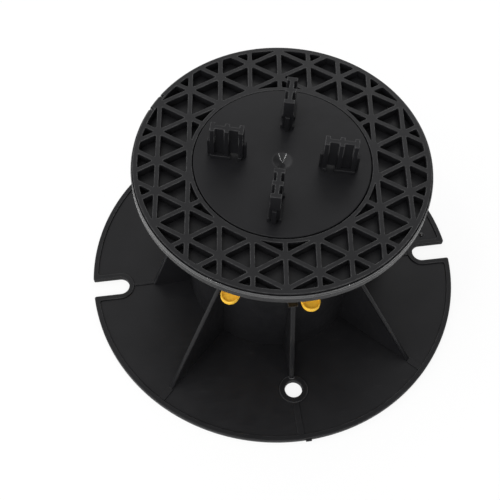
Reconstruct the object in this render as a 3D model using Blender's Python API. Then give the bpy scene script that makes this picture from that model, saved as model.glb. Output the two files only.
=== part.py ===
"""Height-adjustable decking pedestal, metres, +Z up, origin at the centre of the base's underside.

A gusseted base carries a smooth column. A yellow ring nut turns on the column's top and lifts
the threaded stem inside it. The stem's dish holds a triangular isogrid plate, and a disc with
four spacer tabs swivels in the middle of that plate.
"""

import math

import bmesh
import bpy
from mathutils import Matrix, Vector

MM = 0.001

# Clearances
SEAT_GAP = 0.3 * MM
BORE_CLEARANCE = 0.4 * MM
EMBED = 0.5 * MM

# Base plate
BASE_RADIUS = 100.0 * MM
PLATE_THICKNESS = 2.2 * MM
LIP_WIDTH = 2.8 * MM
LIP_HEIGHT = 0.8 * MM
EDGE_CHAMFER = 0.5 * MM
LOW_RIB_HEIGHT = 0.6 * MM
LOW_RIB_WIDTH = 3.4 * MM
SLOT_WIDTH = 10.2 * MM
SLOT_DEPTH = 19.8 * MM
SLOT_MOUTH_FILLET = 1.0 * MM
HOLE_DIAMETER = 9.1 * MM
HOLE_TO_RIM = 27.7 * MM
HOLE_BOSS_WIDTH = 3.0 * MM
GATE_NUB_WIDTH = 3.0 * MM
GATE_NUB_LENGTH = 0.9 * MM
GATE_NUB_AZIMUTH = -88.0
PIP_RADIUS = 1.4 * MM
PIP_HEIGHT = 1.2 * MM
PIP_TO_RIM = 11.0 * MM
PIP_AZIMUTH = 7.5

# Column and gussets
COLUMN_HEIGHT = 57.0 * MM
COLUMN_WALL = 2.6 * MM
GUSSET_THICKNESS = 3.0 * MM
STEEP_GUSSET_TOP_REACH = 5.0 * MM
STEEP_GUSSET_TO_HOLE = 1.15 * MM
LONG_GUSSET_TO_RIM = 10.0 * MM
SHELF_WIDTH = 4.9 * MM
SHELF_DEPTH = 1.2 * MM

# Thread of the stem
THREAD_CREST_RADIUS = 43.0 * MM
THREAD_DEPTH = 1.6 * MM
THREAD_PITCH = 6.0 * MM
THREAD_CREST_WIDTH = 1.6 * MM
THREAD_ROOT_WIDTH = 3.6 * MM
STEM_WALL = 2.6 * MM
STEM_LENGTH = 60.0 * MM

# Ring nut
NUT_WALL = 4.0 * MM
NUT_HEIGHT = 8.0 * MM
LOBE_COUNT = 8
LOBE_RADIUS = 4.5 * MM
LOBE_CENTRE_TO_NUT = 4.0 * MM
LOBE_THICKNESS = 2.5 * MM
LOBE_EDGE_WIDTH = 0.8 * MM
LOBE_RECESS = 0.8 * MM
NUT_TURN = 9.6

# Head: dish on the stem and isogrid plate in it
HEAD_TOP = 106.6 * MM
HEAD_RADIUS = 70.5 * MM
GRID_THICKNESS = 4.6 * MM
GRID_LIP_THICKNESS = 1.5 * MM
GRID_PITCH = 16.76 * MM
GRID_RIB_WIDTH = 2.2 * MM
GRID_RIM_LAND = 2.3 * MM
GRID_INNER_BAND = 2.0 * MM
GRID_TURN = -7.3
DISH_FLOOR = 1.8 * MM
DISH_WALL = 1.6 * MM
DISH_STEP_DEPTH = 0.2 * MM
DISH_STEP_HEIGHT = 1.2 * MM
DISH_RIM_WIDTH = 0.5 * MM
DISH_RIM_DROP = 1.0 * MM
DISH_CHAMFER = 0.7 * MM
DISH_BORE_RADIUS = 30.2 * MM
DISH_RIB_COUNT = 12
DISH_RIB_DEPTH = 4.0 * MM
DISH_RIB_THICKNESS = 2.0 * MM
TONGUE_WIDTH = 7.6 * MM
TONGUE_NOTCH_WIDTH = 1.5 * MM
TONGUE_NOTCH_DEPTH = 2.6 * MM
TONGUE_AZIMUTH = 150.0

# Swivelling disc and its spacer tabs
DISC_RADIUS = 41.5 * MM
DISC_GAP = 0.5 * MM
DISC_RISE = 0.4 * MM
DISC_THICKNESS = 2.4 * MM
DISC_SKIRT_WIDTH = 2.5 * MM
DISC_TURN = -15.4
DIMPLE_RADIUS = 4.4 * MM
DIMPLE_DEPTH = 2.2 * MM
TAB_COUNT = 4
TAB_CENTRE_TO_RIM = 15.5 * MM
TAB_LENGTH = 15.4 * MM
TAB_HEIGHT = 19.6 * MM
TAB_DEPTH = 5.0 * MM
TAB_WEB = 2.0 * MM
TAB_RIB_WIDTH = 2.2 * MM
TAB_FOOT_DEPTH = 6.6 * MM
TAB_FOOT_HEIGHT = 2.0 * MM
TAB_LUG_LENGTH = 1.4 * MM
TAB_LUG_DEPTH = 2.2 * MM
TAB_LUG_HEIGHT = 10.0 * MM
TAB_WINDOW_HEIGHT = 2.4 * MM
CLIP_THICKNESS = 2.2 * MM
CLIP_WIDTH = 8.0 * MM
CLIP_HOOK = 2.2 * MM
CLIP_HOOK_HEIGHT = 2.6 * MM

# Facets
WELD_DISTANCE = 0.02 * MM
BASE_SEGMENTS = 48
THREAD_SEGMENTS = 30
ZONE_SEGMENTS = 36
LOBE_SEGMENTS = 8
ROUND_END_SEGMENTS = 10
HOLE_SEGMENTS = 16
SHARP_ANGLE = math.radians(35)
FACET_SHIFT = math.tau / BASE_SEGMENTS * 0.27

# Sizes that follow from the ones above
PLATE_TOP = PLATE_THICKNESS
LIP_TOP = PLATE_TOP + LIP_HEIGHT
LOW_RIB_TOP = PLATE_TOP + LOW_RIB_HEIGHT
SLOT_END_RADIUS = BASE_RADIUS - SLOT_DEPTH
HOLE_POSITION_RADIUS = BASE_RADIUS - HOLE_TO_RIM
PIP_POSITION_RADIUS = BASE_RADIUS - PIP_TO_RIM
LONG_GUSSET_FOOT_RADIUS = BASE_RADIUS - LONG_GUSSET_TO_RIM
STEEP_GUSSET_FOOT_RADIUS = HOLE_POSITION_RADIUS - HOLE_DIAMETER / 2 - STEEP_GUSSET_TO_HOLE
COLUMN_BORE_RADIUS = THREAD_CREST_RADIUS + BORE_CLEARANCE
COLUMN_RADIUS = COLUMN_BORE_RADIUS + COLUMN_WALL
STEEP_GUSSET_TOP_RADIUS = COLUMN_RADIUS + STEEP_GUSSET_TOP_REACH
THREAD_ROOT_RADIUS = THREAD_CREST_RADIUS - THREAD_DEPTH
STEM_BORE_RADIUS = THREAD_ROOT_RADIUS - STEM_WALL
NUT_BOTTOM = COLUMN_HEIGHT + SEAT_GAP
NUT_RADIUS = COLUMN_BORE_RADIUS + NUT_WALL
LOBE_CENTRE_RADIUS = NUT_RADIUS + LOBE_CENTRE_TO_NUT
GRID_BOTTOM = HEAD_TOP - GRID_THICKNESS
DISH_FLOOR_TOP = GRID_BOTTOM - SEAT_GAP
DISH_BOTTOM = DISH_FLOOR_TOP - DISH_FLOOR
DISH_LEDGE = HEAD_TOP - GRID_LIP_THICKNESS - SEAT_GAP
DISH_NECK_RADIUS = HEAD_RADIUS - DISH_STEP_DEPTH
DISH_RIM_INNER_RADIUS = DISH_NECK_RADIUS - DISH_RIM_WIDTH
DISH_INNER_RADIUS = DISH_NECK_RADIUS - DISH_WALL
GRID_LIP_RADIUS = DISH_RIM_INNER_RADIUS - SEAT_GAP
GRID_BODY_RADIUS = DISH_INNER_RADIUS - SEAT_GAP
GRID_OPENING_RADIUS = DISC_RADIUS + DISC_GAP
TAB_CENTRE_RADIUS = DISC_RADIUS - TAB_CENTRE_TO_RIM
DISC_TOP = HEAD_TOP + DISC_RISE


def clear_scene():
    """Remove every object of the open file."""
    for scene_object in list(bpy.data.objects):
        bpy.data.objects.remove(scene_object, do_unlink=True)


def plastic(name, colour, roughness):
    """Moulded plastic in one colour."""
    material = bpy.data.materials.new(name)
    material.use_nodes = True
    shader = material.node_tree.nodes["Principled BSDF"]
    shader.inputs["Base Color"].default_value = (*colour, 1.0)
    shader.inputs["Roughness"].default_value = roughness
    shader.inputs["Metallic"].default_value = 0.0
    material.diffuse_color = (*colour, 1.0)
    return material


def mesh_object(name, bm):
    """Turn a bmesh into an object with its faces pointing out."""
    bmesh.ops.recalc_face_normals(bm, faces=bm.faces)
    mesh = bpy.data.meshes.new(name)
    bm.to_mesh(mesh)
    bm.free()
    result = bpy.data.objects.new(name, mesh)
    bpy.context.scene.collection.objects.link(result)
    return result


def revolved(name, profile, segments, first_angle=0.0):
    """Closed solid of revolution about Z from a closed (radius, height) profile."""
    bm = bmesh.new()
    rings = []
    for radius, height in profile:
        if radius == 0.0:
            rings.append([bm.verts.new((0.0, 0.0, height))])
            continue
        ring = []
        for step in range(segments):
            angle = first_angle + math.tau * step / segments
            ring.append(bm.verts.new((radius * math.cos(angle), radius * math.sin(angle), height)))
        rings.append(ring)
    for index, lower in enumerate(rings):
        upper = rings[(index + 1) % len(rings)]
        if len(lower) == 1 and len(upper) == 1:
            continue
        for step in range(segments):
            after = (step + 1) % segments
            corners = [lower[step % len(lower)], lower[after % len(lower)],
                       upper[after % len(upper)], upper[step % len(upper)]]
            bm.faces.new(list(dict.fromkeys(corners)))
    return mesh_object(name, bm)


def extruded(name, outline, depth_vector):
    """Prism on a flat outline of 3-D points, swept along a vector."""
    bm = bmesh.new()
    near = [bm.verts.new(point) for point in outline]
    far = [bm.verts.new(Vector(point) + Vector(depth_vector)) for point in outline]
    bm.faces.new(near)
    bm.faces.new(far)
    for index in range(len(near)):
        after = (index + 1) % len(near)
        bm.faces.new((near[index], near[after], far[after], far[index]))
    return mesh_object(name, bm)


def upright_prism(name, outline, bottom, top):
    """Prism on a plan outline between two heights."""
    return extruded(name, [(x, y, bottom) for x, y in outline], (0.0, 0.0, top - bottom))


def radial_plate(name, outline, thickness, azimuth):
    """Plate in the radial plane at an azimuth in degrees, from a (radius, height) outline."""
    plate = extruded(name, [(radius, -thickness / 2, height) for radius, height in outline],
                     (0.0, thickness, 0.0))
    plate.data.transform(Matrix.Rotation(math.radians(azimuth), 4, "Z"))
    return plate


def arc(centre, radius, start, end, steps):
    """Points of a plan arc between two angles in degrees."""
    points = []
    for step in range(steps + 1):
        angle = math.radians(start + (end - start) * step / steps)
        points.append((centre[0] + radius * math.cos(angle), centre[1] + radius * math.sin(angle)))
    return points


def box_outline(x_low, x_high, y_low, y_high):
    """Corners of a rectangle in plan or in a radial plane."""
    return [(x_low, y_low), (x_high, y_low), (x_high, y_high), (x_low, y_high)]


def turned(outline, azimuth):
    """Plan outline turned about the axis by an angle in degrees."""
    cosine = math.cos(math.radians(azimuth))
    sine = math.sin(math.radians(azimuth))
    return [(x * cosine - y * sine, x * sine + y * cosine) for x, y in outline]


def weld(part):
    """Collapse the very short edges that Booleans leave where edges nearly meet."""
    bm = bmesh.new()
    bm.from_mesh(part.data)
    bmesh.ops.dissolve_degenerate(bm, dist=WELD_DISTANCE, edges=bm.edges)
    bm.to_mesh(part.data)
    bm.free()


def combine(target, operands, operation):
    """Apply an exact Boolean of the target with all operands, which are then removed."""
    collection = bpy.data.collections.new("operands")
    for operand in operands:
        collection.objects.link(operand)
    modifier = target.modifiers.new(operation.lower(), "BOOLEAN")
    modifier.operation = operation
    modifier.operand_type = "COLLECTION"
    modifier.collection = collection
    modifier.solver = "EXACT"
    bpy.context.view_layer.update()
    evaluated = target.evaluated_get(bpy.context.evaluated_depsgraph_get())
    mesh = bpy.data.meshes.new_from_object(evaluated)
    target.modifiers.remove(modifier)
    target.data = mesh
    for operand in operands:
        bpy.data.objects.remove(operand, do_unlink=True)
    bpy.data.collections.remove(collection)
    weld(target)


def finish(part, material, height, turn):
    """Give a part its material, its shading and its place on the axis."""
    part.data.materials.clear()
    part.data.materials.append(material)
    part.data.shade_smooth()
    part.data.set_sharp_from_angle(angle=SHARP_ANGLE)
    part.location = (0.0, 0.0, height)
    part.rotation_euler = (0.0, 0.0, math.radians(turn))


def slot_outline(side_offset, length_end):
    """U-shaped plan outline about a slot on +X, grown by an offset and open at a radius."""
    half_width = SLOT_WIDTH / 2 + side_offset
    centre = (SLOT_END_RADIUS + SLOT_WIDTH / 2, 0.0)
    closed_end = arc(centre, half_width, 90, 270, ROUND_END_SEGMENTS)
    return closed_end + [(length_end, -half_width), (length_end, half_width)]


def slot_cut_outline():
    """Plan outline of a slot whose mouth is rounded into the rim."""
    half_width = SLOT_WIDTH / 2
    fillet_y = half_width + SLOT_MOUTH_FILLET
    fillet_x = math.sqrt((BASE_RADIUS - SLOT_MOUTH_FILLET) ** 2 - fillet_y ** 2)
    meeting = math.degrees(math.atan2(fillet_y, fillet_x))
    beyond = BASE_RADIUS * 1.05
    upper = arc((fillet_x, fillet_y), SLOT_MOUTH_FILLET, -90, meeting, 4)
    outer_y = upper[-1][1]
    mouth = upper + [(beyond, outer_y), (beyond, -outer_y)]
    lower = [(x, -y) for x, y in reversed(upper)]
    centre = (SLOT_END_RADIUS + half_width, 0.0)
    closed_end = arc(centre, half_width, 270, 90, ROUND_END_SEGMENTS)
    return mouth + lower + closed_end


def build_base(material):
    """One moulding: lipped plate, column, eight gussets, bosses and low ribs."""
    plate_and_column = [
        (COLUMN_BORE_RADIUS, 0.0),
        (BASE_RADIUS - EDGE_CHAMFER, 0.0),
        (BASE_RADIUS, EDGE_CHAMFER),
        (BASE_RADIUS, LIP_TOP - EDGE_CHAMFER),
        (BASE_RADIUS - EDGE_CHAMFER, LIP_TOP),
        (BASE_RADIUS - LIP_WIDTH, LIP_TOP),
        (BASE_RADIUS - LIP_WIDTH, PLATE_TOP),
        (COLUMN_RADIUS, PLATE_TOP),
        (COLUMN_RADIUS, COLUMN_HEIGHT),
        (COLUMN_BORE_RADIUS, COLUMN_HEIGHT),
    ]
    base = revolved("base", plate_and_column, BASE_SEGMENTS)
    buried = PLATE_TOP - EMBED * 2
    inside_column = COLUMN_RADIUS - COLUMN_WALL / 2
    steep = [(inside_column, buried), (STEEP_GUSSET_FOOT_RADIUS, buried),
             (STEEP_GUSSET_FOOT_RADIUS, PLATE_TOP + EMBED),
             (STEEP_GUSSET_TOP_RADIUS, COLUMN_HEIGHT - EMBED),
             (inside_column, COLUMN_HEIGHT - EMBED)]
    shelf = box_outline(inside_column, STEEP_GUSSET_TOP_RADIUS,
                        COLUMN_HEIGHT - SHELF_DEPTH, COLUMN_HEIGHT - EMBED / 2)
    long = [(inside_column, buried), (LONG_GUSSET_FOOT_RADIUS, buried),
            (LONG_GUSSET_FOOT_RADIUS, PLATE_TOP + EMBED),
            (COLUMN_RADIUS, COLUMN_HEIGHT - EMBED),
            (inside_column, COLUMN_HEIGHT - EMBED)]
    additions = []
    for azimuth in (0, 90, 180, 270):
        additions.append(radial_plate("steep_gusset", steep, GUSSET_THICKNESS, azimuth))
        additions.append(radial_plate("shelf", shelf, SHELF_WIDTH, azimuth))
        additions.append(radial_plate("long_gusset", long, GUSSET_THICKNESS, azimuth + 45))
        low_rib = box_outline(LONG_GUSSET_FOOT_RADIUS - EMBED, BASE_RADIUS - LIP_WIDTH / 2,
                              buried, LOW_RIB_TOP)
        additions.append(radial_plate("outer_rib", low_rib, LOW_RIB_WIDTH, azimuth + 45))
    boss_radius = HOLE_DIAMETER / 2 + HOLE_BOSS_WIDTH
    slot_lip_end = BASE_RADIUS - LIP_WIDTH / 2
    cuts = []
    for side in (0, 180):
        lip = turned(slot_outline(LIP_WIDTH, slot_lip_end), side)
        additions.append(upright_prism("slot_lip", lip, buried, LIP_TOP))
        slot_rib = box_outline(STEEP_GUSSET_FOOT_RADIUS - EMBED, SLOT_END_RADIUS - LIP_WIDTH / 2,
                               buried, LOW_RIB_TOP)
        additions.append(radial_plate("slot_rib", slot_rib, LOW_RIB_WIDTH / 2, side))
        cuts.append(upright_prism("slot", turned(slot_cut_outline(), side), -EMBED, LIP_TOP + EMBED))
    for side in (90, 270):
        centre = turned([(HOLE_POSITION_RADIUS, 0.0)], side)[0]
        boss = arc(centre, boss_radius, 0, 360, HOLE_SEGMENTS)[:-1]
        additions.append(upright_prism("hole_boss", boss, buried, LIP_TOP))
        hole_rib = box_outline(HOLE_POSITION_RADIUS + HOLE_DIAMETER / 2,
                               BASE_RADIUS - LIP_WIDTH / 2, buried, LOW_RIB_TOP)
        additions.append(radial_plate("hole_rib", hole_rib, LOW_RIB_WIDTH, side))
        hole = arc(centre, HOLE_DIAMETER / 2, 0, 360, HOLE_SEGMENTS)[:-1]
        cuts.append(upright_prism("hole", hole, -EMBED, LIP_TOP + STEEP_GUSSET_FOOT_RADIUS))
    nub = box_outline(BASE_RADIUS - LIP_WIDTH / 2, BASE_RADIUS + GATE_NUB_LENGTH,
                      EDGE_CHAMFER * 2, PLATE_TOP)
    additions.append(radial_plate("gate_nub", nub, GATE_NUB_WIDTH, GATE_NUB_AZIMUTH))
    pip_centre = turned([(PIP_POSITION_RADIUS, 0.0)], PIP_AZIMUTH)[0]
    pip = arc(pip_centre, PIP_RADIUS, 0, 360, ROUND_END_SEGMENTS)[:-1]
    additions.append(upright_prism("pip", pip, buried, PLATE_TOP + PIP_HEIGHT))
    combine(base, additions, "UNION")
    combine(base, cuts, "DIFFERENCE")
    finish(base, material, 0.0, 0.0)


def build_ring_nut(material):
    """Ring with dished finger lobes, its seat on the column's top at height zero."""
    ring = [
        (COLUMN_BORE_RADIUS, 0.0),
        (NUT_RADIUS, 0.0),
        (NUT_RADIUS, NUT_HEIGHT - EDGE_CHAMFER),
        (NUT_RADIUS - EDGE_CHAMFER, NUT_HEIGHT),
        (COLUMN_BORE_RADIUS, NUT_HEIGHT),
    ]
    nut = revolved("ring_nut", ring, BASE_SEGMENTS)
    inner = (COLUMN_BORE_RADIUS + NUT_RADIUS) / 2
    lobes = []
    recesses = []
    for index in range(LOBE_COUNT):
        azimuth = 360 * index / LOBE_COUNT
        tip = arc((LOBE_CENTRE_RADIUS, 0.0), LOBE_RADIUS, -90, 90, LOBE_SEGMENTS)
        lobe = tip + [(inner, LOBE_RADIUS), (inner, -LOBE_RADIUS)]
        lobes.append(upright_prism("lobe", turned(lobe, azimuth), 0.0, LOBE_THICKNESS))
        dish_radius = LOBE_RADIUS - LOBE_EDGE_WIDTH
        dish_tip = arc((LOBE_CENTRE_RADIUS, 0.0), dish_radius, -90, 90, LOBE_SEGMENTS)
        start = NUT_RADIUS + LOBE_EDGE_WIDTH / 2
        dish = dish_tip + [(start, dish_radius), (start, -dish_radius)]
        recesses.append(upright_prism("recess", turned(dish, azimuth),
                                      LOBE_THICKNESS - LOBE_RECESS, LOBE_THICKNESS + EMBED))
    combine(nut, lobes, "UNION")
    combine(nut, recesses, "DIFFERENCE")
    finish(nut, material, NUT_BOTTOM, NUT_TURN)


def ring_of_points(bm, radius, height):
    """Vertices of one circle of the threaded tube."""
    angles = [math.tau * step / THREAD_SEGMENTS for step in range(THREAD_SEGMENTS)]
    return [bm.verts.new((radius * math.cos(angle), radius * math.sin(angle), height))
            for angle in angles]


def join_rings(bm, lower, upper):
    """Faces between two circles of the threaded tube."""
    for step in range(THREAD_SEGMENTS):
        after = (step + 1) % THREAD_SEGMENTS
        bm.faces.new((lower[step], lower[after], upper[after], upper[step]))


def threaded_tube(name, bottom, top, thread_top):
    """Tube with a right-hand trapezoid thread that fades out at both ends of its helix."""
    bm = bmesh.new()
    turn = THREAD_SEGMENTS
    first_height = bottom + THREAD_ROOT_WIDTH
    turns = int((thread_top - THREAD_ROOT_WIDTH / 2 - first_height) / THREAD_PITCH)
    steps = turns * turn
    fade = turn / 4
    ridge = []
    for step in range(steps + 1):
        angle = math.tau * step / turn
        middle = first_height + THREAD_PITCH * step / turn
        growth = min(1.0, step / fade, (steps - step) / fade)
        crest = THREAD_ROOT_RADIUS + growth * THREAD_DEPTH
        section = [(THREAD_ROOT_RADIUS, -THREAD_ROOT_WIDTH / 2), (crest, -THREAD_CREST_WIDTH / 2),
                   (crest, THREAD_CREST_WIDTH / 2), (THREAD_ROOT_RADIUS, THREAD_ROOT_WIDTH / 2)]
        ridge.append([bm.verts.new((radius * math.cos(angle), radius * math.sin(angle),
                                    middle + lift)) for radius, lift in section])
    for section, following in zip(ridge, ridge[1:]):
        for index in range(3):
            bm.faces.new((section[index], following[index],
                          following[index + 1], section[index + 1]))
    for step in range(steps - turn):
        bm.faces.new((ridge[step][3], ridge[step + 1][3],
                      ridge[step + 1 + turn][0], ridge[step + turn][0]))
    outer_low = ring_of_points(bm, THREAD_ROOT_RADIUS, bottom)
    outer_high = ring_of_points(bm, THREAD_ROOT_RADIUS, top)
    for step in range(turn - 1):
        bm.faces.new((outer_low[step], outer_low[step + 1], ridge[step + 1][0], ridge[step][0]))
    for step in range(1, turn):
        last = steps - turn + step
        bm.faces.new((ridge[last][3], ridge[last + 1][3],
                      outer_high[(step + 1) % turn], outer_high[step]))
    bm.faces.new([outer_low[-1], outer_low[0], *ridge[0], ridge[turn][0], ridge[turn - 1][0]])
    bm.faces.new([ridge[steps - turn][3], ridge[steps - turn + 1][3], outer_high[1],
                  outer_high[0], *reversed(ridge[steps])])
    inner_low = ring_of_points(bm, STEM_BORE_RADIUS, bottom)
    inner_high = ring_of_points(bm, STEM_BORE_RADIUS, top)
    join_rings(bm, inner_low, outer_low)
    join_rings(bm, outer_high, inner_high)
    join_rings(bm, inner_high, inner_low)
    return mesh_object(name, bm)


def tongue_notches(bottom, top):
    """Cutters of the two rim notches that leave a tongue between them."""
    outer = HEAD_RADIUS + EMBED
    inner = HEAD_RADIUS - TONGUE_NOTCH_DEPTH
    cutters = []
    for side in (-1, 1):
        middle = side * (TONGUE_WIDTH + TONGUE_NOTCH_WIDTH) / 2
        outline = box_outline(inner, outer, middle - TONGUE_NOTCH_WIDTH / 2,
                              middle + TONGUE_NOTCH_WIDTH / 2)
        cutters.append(upright_prism("notch", turned(outline, TONGUE_AZIMUTH), bottom, top))
    return cutters


def build_stem(material):
    """Threaded tube with a ribbed dish on top, the dish's underside at height zero."""
    floor_top = DISH_FLOOR
    ledge = DISH_LEDGE - DISH_BOTTOM
    wall_top = HEAD_TOP - DISH_RIM_DROP - DISH_BOTTOM
    step = wall_top - DISH_STEP_HEIGHT
    outline = [
        (DISH_BORE_RADIUS, 0.0),
        (HEAD_RADIUS - DISH_CHAMFER, 0.0),
        (HEAD_RADIUS, DISH_CHAMFER),
        (HEAD_RADIUS, step),
        (DISH_NECK_RADIUS, step),
        (DISH_NECK_RADIUS, wall_top),
        (DISH_RIM_INNER_RADIUS, wall_top),
        (DISH_RIM_INNER_RADIUS, ledge),
        (DISH_INNER_RADIUS, ledge),
        (DISH_INNER_RADIUS, floor_top),
        (DISH_BORE_RADIUS, floor_top),
    ]
    stem = revolved("stem", outline, BASE_SEGMENTS, FACET_SHIFT)
    tube = threaded_tube("threaded_tube", -STEM_LENGTH, DISH_FLOOR / 2, -DISH_RIB_DEPTH)
    additions = [tube]
    inside_tube = THREAD_ROOT_RADIUS - STEM_WALL / 2
    rib_end = DISH_INNER_RADIUS - DISH_WALL
    rib = [(inside_tube, -DISH_RIB_DEPTH), (THREAD_CREST_RADIUS, -DISH_RIB_DEPTH),
           (rib_end, -EMBED * 2), (rib_end, EMBED), (inside_tube, EMBED)]
    for index in range(DISH_RIB_COUNT):
        azimuth = 360 * index / DISH_RIB_COUNT
        additions.append(radial_plate("dish_rib", rib, DISH_RIB_THICKNESS, azimuth))
    combine(stem, additions, "UNION")
    combine(stem, tongue_notches(floor_top, wall_top + EMBED), "DIFFERENCE")
    finish(stem, material, DISH_BOTTOM, GRID_TURN)


def lattice_triangles(reach):
    """Cells of the triangular lattice about the centre, shrunk to leave the ribs between."""
    row = GRID_PITCH * math.sqrt(3) / 2
    shrink = 1.0 - (GRID_RIB_WIDTH / 2) / (row / 3)
    count = int(reach / row) + 2
    cells = []
    for column in range(-count, count):
        for step in range(-2 * count, 2 * count):
            low = (step + column / 2) * GRID_PITCH
            x = column * row
            left = [(x, low), (x, low + GRID_PITCH), (x + row, low + GRID_PITCH / 2)]
            right = [(x + row, low + GRID_PITCH / 2), (x + row, low + GRID_PITCH * 1.5),
                     (x, low + GRID_PITCH)]
            for cell in (left, right):
                middle_x = sum(point[0] for point in cell) / 3
                middle_y = sum(point[1] for point in cell) / 3
                if math.hypot(middle_x, middle_y) < reach:
                    cells.append([(middle_x + (x - middle_x) * shrink,
                                   middle_y + (y - middle_y) * shrink) for x, y in cell])
    return cells


def drop_slivers(part, smallest_width):
    """Remove the separate shells of a mesh that are narrower than a width in plan."""
    bm = bmesh.new()
    bm.from_mesh(part.data)
    unseen = set(bm.verts)
    while unseen:
        shell = set()
        edge_of_shell = {unseen.pop()}
        while edge_of_shell:
            vertex = edge_of_shell.pop()
            shell.add(vertex)
            unseen.discard(vertex)
            edge_of_shell |= {edge.other_vert(vertex) for edge in vertex.link_edges} - shell
        faces = {face for vertex in shell for face in vertex.link_faces}
        plan = sum(face.calc_area() * abs(face.normal.z) for face in faces) / 2
        if plan < smallest_width ** 2:
            bmesh.ops.delete(bm, geom=list(shell), context="VERTS")
    bm.to_mesh(part.data)
    bm.free()


def build_isogrid_plate(material):
    """Lipped ring plate with triangular pockets, its underside at height zero."""
    lip_bottom = GRID_THICKNESS - GRID_LIP_THICKNESS
    outline = [
        (GRID_OPENING_RADIUS, 0.0),
        (GRID_BODY_RADIUS, 0.0),
        (GRID_BODY_RADIUS, lip_bottom),
        (GRID_LIP_RADIUS, lip_bottom),
        (GRID_LIP_RADIUS, GRID_THICKNESS - EDGE_CHAMFER / 2),
        (GRID_LIP_RADIUS - EDGE_CHAMFER / 2, GRID_THICKNESS),
        (GRID_OPENING_RADIUS, GRID_THICKNESS),
    ]
    plate = revolved("isogrid_plate", outline, BASE_SEGMENTS, FACET_SHIFT)
    pocket_inner = GRID_OPENING_RADIUS + GRID_INNER_BAND
    pocket_outer = GRID_LIP_RADIUS - GRID_RIM_LAND
    field = [(pocket_inner, -EMBED), (pocket_outer, -EMBED),
             (pocket_outer, GRID_THICKNESS + EMBED), (pocket_inner, GRID_THICKNESS + EMBED)]
    zone = revolved("pocket_zone", field, ZONE_SEGMENTS, FACET_SHIFT)
    bm = bmesh.new()
    for cell in lattice_triangles(HEAD_RADIUS):
        low = [bm.verts.new((x, y, -EMBED * 2)) for x, y in cell]
        high = [bm.verts.new((x, y, GRID_THICKNESS + EMBED * 2)) for x, y in cell]
        bm.faces.new(low)
        bm.faces.new(high)
        for index in range(3):
            after = (index + 1) % 3
            bm.faces.new((low[index], low[after], high[after], high[index]))
    pockets = mesh_object("pockets", bm)
    combine(pockets, [zone], "INTERSECT")
    drop_slivers(pockets, GRID_RIB_WIDTH)
    combine(plate, [pockets], "DIFFERENCE")
    combine(plate, tongue_notches(-EMBED, GRID_THICKNESS + EMBED), "DIFFERENCE")
    finish(plate, material, GRID_BOTTOM, GRID_TURN)


def tab_shapes(azimuth):
    """Overlapping blocks of one spacer tab on the disc, whose top is at height zero."""
    inner = TAB_CENTRE_RADIUS - TAB_LENGTH / 2
    outer = TAB_CENTRE_RADIUS + TAB_LENGTH / 2
    web = box_outline(inner + EMBED, outer - EMBED, -EMBED, TAB_HEIGHT)
    shapes = [radial_plate("web", web, TAB_WEB, azimuth)]
    middle = TAB_CENTRE_RADIUS - TAB_RIB_WIDTH / 2
    for start in (inner, middle, outer - TAB_RIB_WIDTH):
        rib = box_outline(start, start + TAB_RIB_WIDTH, -EMBED, TAB_HEIGHT)
        shapes.append(radial_plate("rib", rib, TAB_DEPTH, azimuth))
    for start in (inner - TAB_LUG_LENGTH, outer - EMBED):
        lug = box_outline(start, start + TAB_LUG_LENGTH + EMBED, -EMBED, TAB_LUG_HEIGHT)
        shapes.append(radial_plate("lug", lug, TAB_LUG_DEPTH, azimuth))
    foot = box_outline(inner + EMBED, outer, -EMBED, TAB_FOOT_HEIGHT)
    shapes.append(radial_plate("foot", foot, TAB_FOOT_DEPTH, azimuth))
    return shapes


def tab_window(azimuth):
    """Cutter of the low window in the web's inner bay, level with the disc."""
    inner = TAB_CENTRE_RADIUS - TAB_LENGTH / 2
    window = box_outline(inner + TAB_RIB_WIDTH, TAB_CENTRE_RADIUS - TAB_RIB_WIDTH / 2 - EMBED,
                         0.0, TAB_WINDOW_HEIGHT)
    return radial_plate("window", window, TAB_FOOT_DEPTH * 2, azimuth)


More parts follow.
